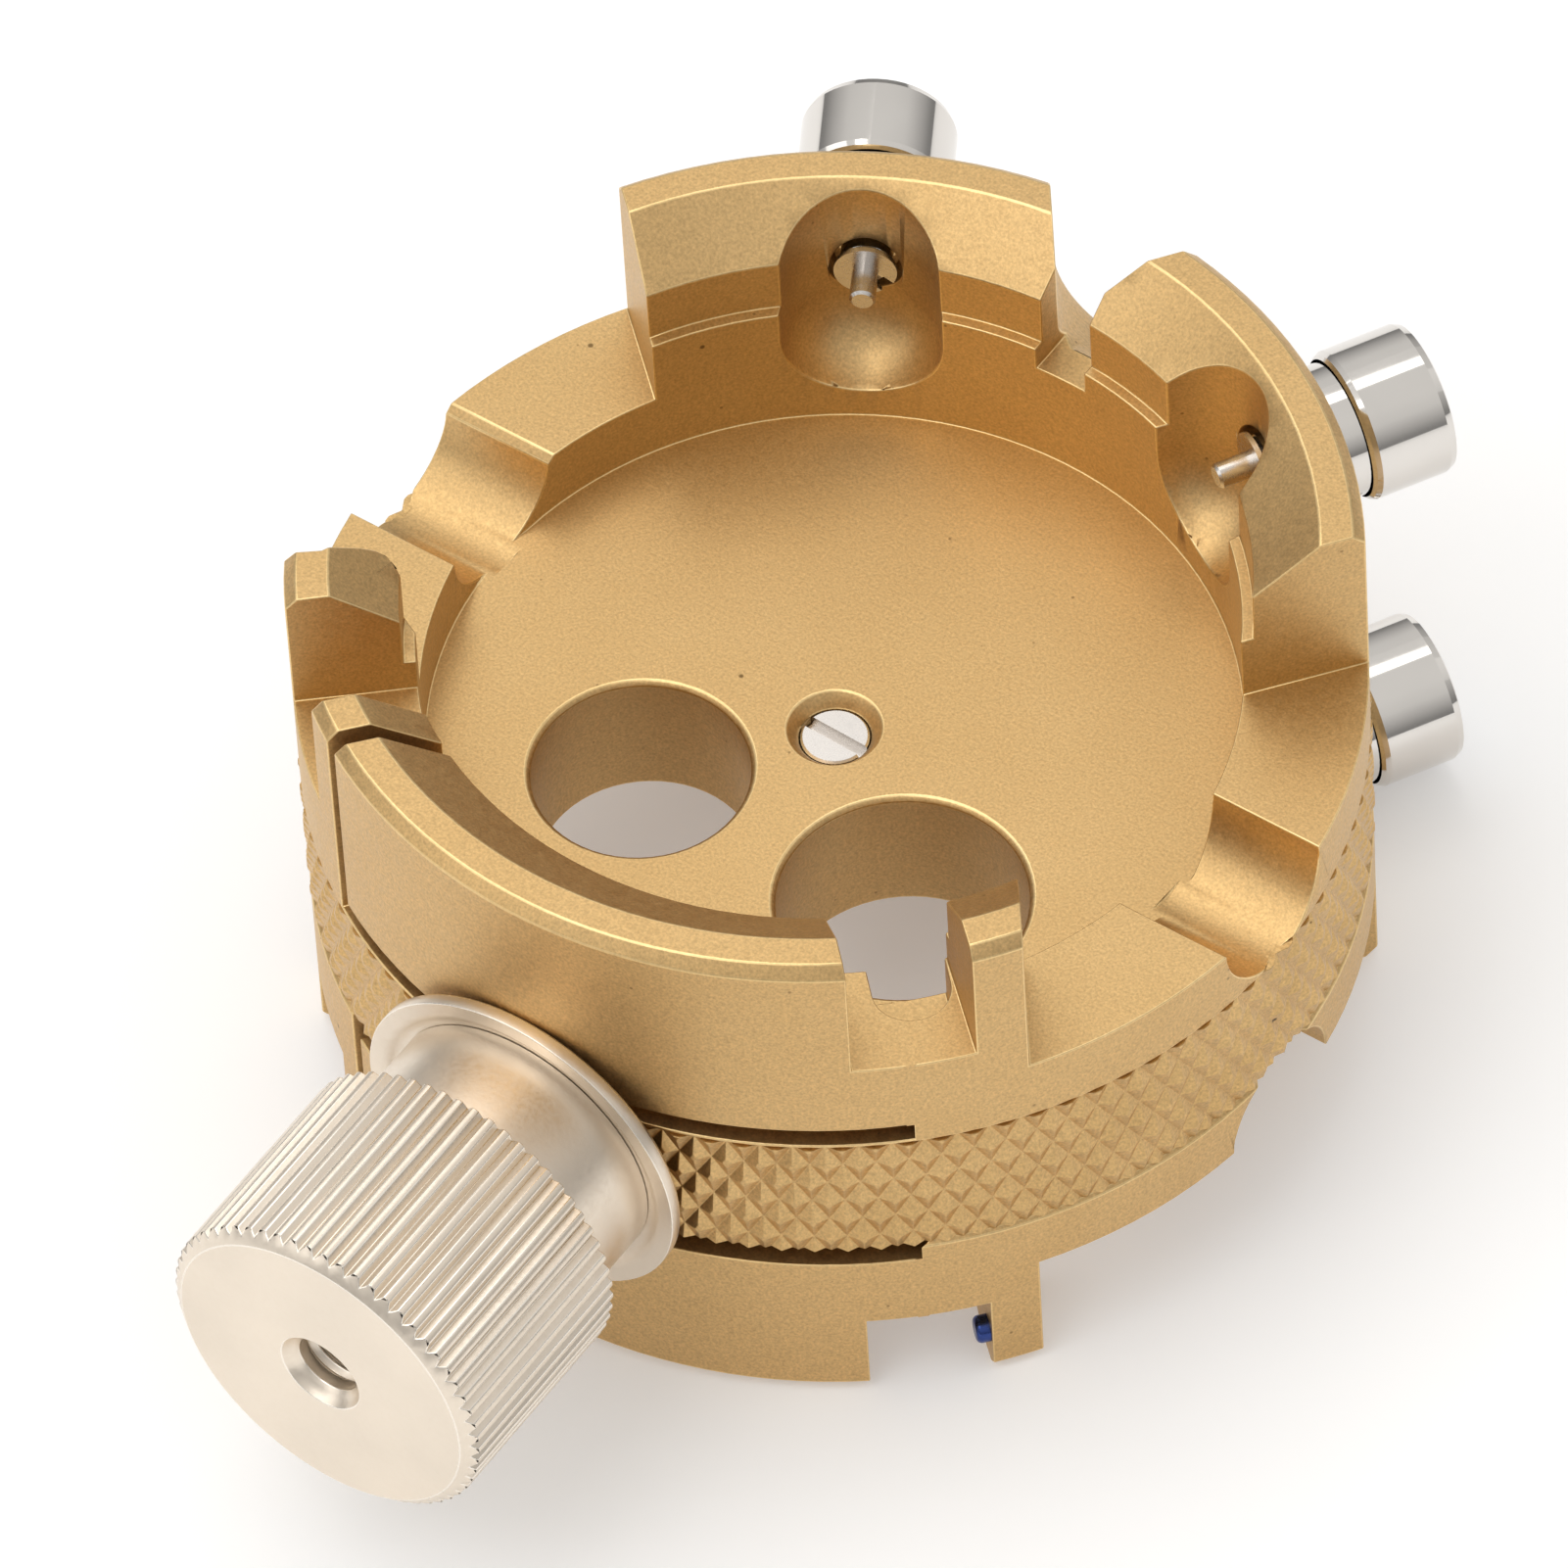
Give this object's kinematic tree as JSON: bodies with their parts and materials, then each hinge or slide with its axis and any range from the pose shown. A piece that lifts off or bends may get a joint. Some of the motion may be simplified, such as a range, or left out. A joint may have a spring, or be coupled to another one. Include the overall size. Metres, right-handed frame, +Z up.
{
  "type": "watch movement holder",
  "caption": "Double-sided ring holder for a watch movement: brass body with sprung clamp jaws closed by a knurled thumb nut, and spring-loaded side pushers.",
  "frame": {"origin": "on the ring axis, in the floor of the upper recess where the grip wall starts", "axes": "+Z up out of the upper recess, -Y out along the clamp knob, +Y towards the crown recess, X along the round-bottomed groove"},
  "size_m": [0.039, 0.0548, 0.0241],
  "materials": {
    "brass": "bead-blasted satin",
    "nickel": "satin nickel plate",
    "chrome": "polished",
    "steel": "turned",
    "blued_steel": "heat blued",
    "rubber": "matte"
  },
  "bodies": {
    "holder": {"holder_body": "brass", "clamp_stud": "steel", "centre_screw": "steel", "blued_pin": "blued_steel", "pusher_tube_ul": "nickel", "pusher_seal_ul": "rubber", "pusher_spring_ul": "steel", "pusher_tube_ur": "nickel", "pusher_seal_ur": "rubber", "pusher_spring_ur": "steel", "pusher_tube_ll": "nickel", "pusher_seal_ll": "rubber", "pusher_spring_ll": "steel", "pusher_tube_lr": "nickel", "pusher_seal_lr": "rubber", "pusher_spring_lr": "steel"},
    "upper_jaw": {"upper_clamp_jaw": "brass"},
    "lower_jaw": {"lower_clamp_jaw": "brass"},
    "washer": {"thrust_washer": "nickel"},
    "knob": {"clamp_knob": "nickel"},
    "pusher_ul": {"pusher_cap_ul": "chrome", "pusher_stem_ul": "steel", "pusher_clip_ul": "steel"},
    "pusher_ur": {"pusher_cap_ur": "chrome", "pusher_stem_ur": "steel", "pusher_clip_ur": "steel"},
    "pusher_ll": {"pusher_cap_ll": "chrome", "pusher_stem_ll": "steel", "pusher_clip_ll": "steel"},
    "pusher_lr": {"pusher_cap_lr": "chrome", "pusher_stem_lr": "steel", "pusher_clip_lr": "steel"}
  },
  "joints": [
    {"name": "clamp_slide", "type": "slide", "parent": "holder", "child": "washer", "axis": [0, 1, 0], "range_m": [0, 0.0003]},
    {"name": "knob_turn", "type": "hinge", "parent": "washer", "child": "knob", "pos_m": [0, -0.026, -0.00292], "axis": [0, 1, 0], "range_deg": [0, 216.5]},
    {"name": "upper_jaw_flex", "type": "hinge", "parent": "holder", "child": "upper_jaw", "pos_m": [0.01081, -0.0134, 0.003], "axis": [0, 0, -1], "range_deg": [0, 1.6]},
    {"name": "lower_jaw_flex", "type": "hinge", "parent": "holder", "child": "lower_jaw", "pos_m": [0.01081, -0.0134, -0.009], "axis": [0, 0, -1], "range_deg": [0, 1.6]},
    {"name": "pusher_ul_press", "type": "slide", "parent": "holder", "child": "pusher_ul", "axis": [0.5, -0.866, 0], "range_m": [0, 0.001], "stiffness_N_per_m": 250, "springref_m": -0.001, "deforming": ["pusher_spring_ul"]},
    {"name": "pusher_ur_press", "type": "slide", "parent": "holder", "child": "pusher_ur", "axis": [-0.5, -0.866, 0], "range_m": [0, 0.001], "stiffness_N_per_m": 250, "springref_m": -0.001, "deforming": ["pusher_spring_ur"]},
    {"name": "pusher_ll_press", "type": "slide", "parent": "holder", "child": "pusher_ll", "axis": [0.5, -0.866, 0], "range_m": [0, 0.001], "stiffness_N_per_m": 250, "springref_m": -0.001, "deforming": ["pusher_spring_ll"]},
    {"name": "pusher_lr_press", "type": "slide", "parent": "holder", "child": "pusher_lr", "axis": [-0.5, -0.866, 0], "range_m": [0, 0.001], "stiffness_N_per_m": 250, "springref_m": -0.001, "deforming": ["pusher_spring_lr"]}
  ],
  "couplings": [
    {"joint": "knob_turn", "follows": "clamp_slide", "rad_per_m": 12566},
    {"joint": "upper_jaw_flex", "follows": "clamp_slide", "rad_per_m": 92.477},
    {"joint": "lower_jaw_flex", "follows": "clamp_slide", "rad_per_m": 92.477}
  ]
}
